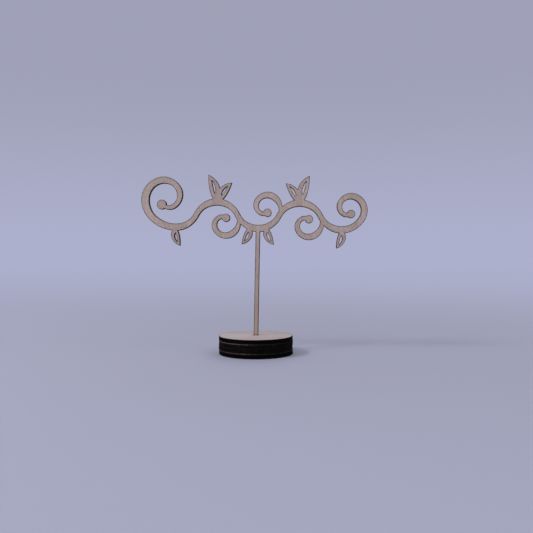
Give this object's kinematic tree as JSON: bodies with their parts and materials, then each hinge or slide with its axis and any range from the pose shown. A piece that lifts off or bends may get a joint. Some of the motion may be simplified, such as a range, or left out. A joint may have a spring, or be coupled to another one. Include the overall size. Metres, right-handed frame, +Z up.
{
  "type": "cake topper",
  "caption": "Free-standing wooden cake topper: a vine scroll cut with its pick from one plywood sheet, standing in the slot of a round base of stacked discs.",
  "frame": {"origin": "centre of the base's underside, on the surface that the part stands on", "axes": "+Z up; +X along the scroll, to the right seen from the front; the front faces -Y"},
  "size_m": [0.153, 0.05, 0.121],
  "materials": {
    "plywood": "raw birch veneer, edges charred by the laser",
    "wood_glue": "dried and browned"
  },
  "bodies": {
    "base": {"bottom_disc": "plywood", "bottom_glue_film": "wood_glue", "lower_disc": "plywood", "middle_glue_film": "wood_glue", "upper_disc": "plywood", "top_glue_film": "wood_glue", "top_disc": "plywood"},
    "topper": {"scroll_topper": "plywood"}
  },
  "joints": [
    {"name": "topper_lift", "type": "slide", "parent": "base", "child": "topper", "axis": [0.0192, 0, 0.9998], "range_m": [0, 0.015]}
  ]
}
